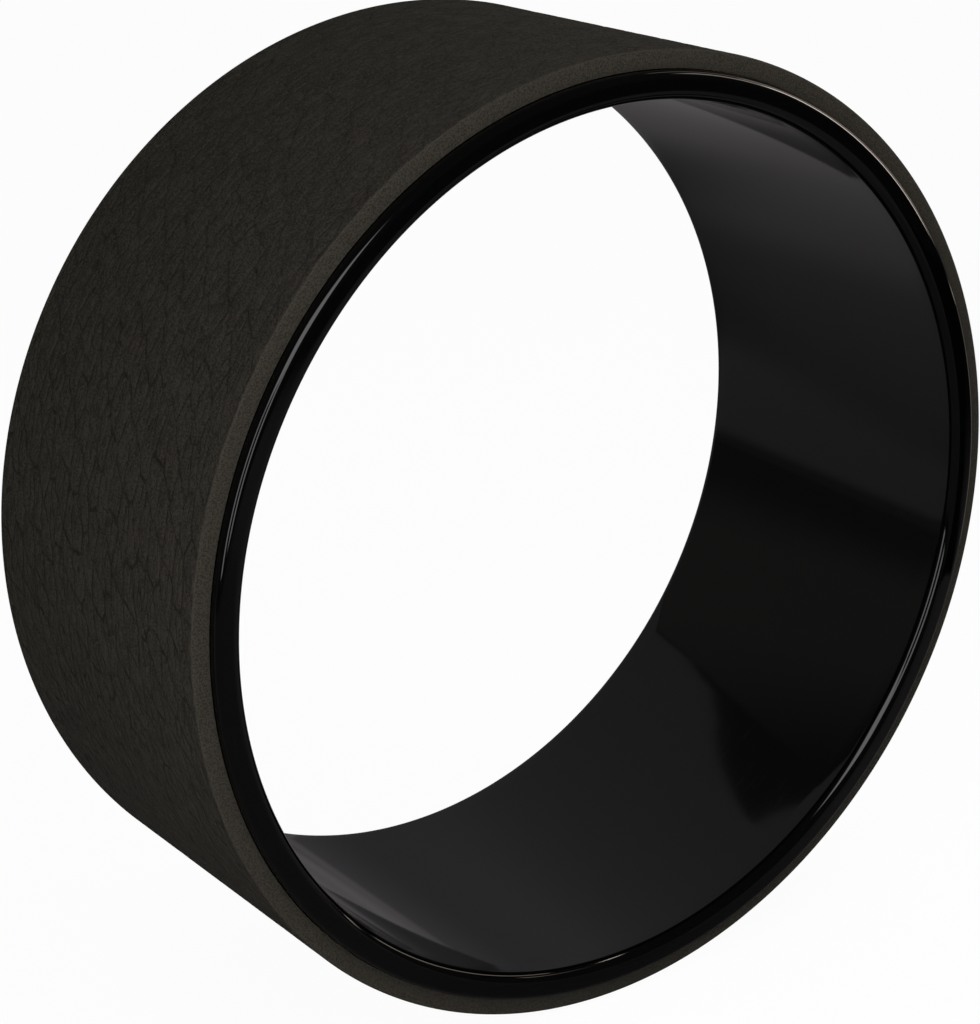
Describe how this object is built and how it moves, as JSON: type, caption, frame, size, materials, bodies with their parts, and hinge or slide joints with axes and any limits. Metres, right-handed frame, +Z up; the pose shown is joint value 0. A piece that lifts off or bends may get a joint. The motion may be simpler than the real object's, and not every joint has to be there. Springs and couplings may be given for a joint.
{
  "type": "yoga wheel",
  "caption": "Wide rigid hoop with a grained foam tread bonded round it, rolled under the back, hands or feet in stretches and balances.",
  "frame": {"origin": "centre of the wheel, on its axis and halfway across its width", "axes": "+Y along the wheel's axis, from the pictured side to the far side; +Z up as the wheel stands on its tread; the pad's butt joint is on the +X side"},
  "size_m": [0.33, 0.1324, 0.33],
  "materials": {
    "hoop_plastic": "gloss",
    "pad_foam": "matte",
    "adhesive": "satin"
  },
  "bodies": {
    "root": {"hoop": "hoop_plastic", "pad": "pad_foam", "bond_film": "adhesive", "seam_bond": "adhesive"}
  },
  "joints": []
}
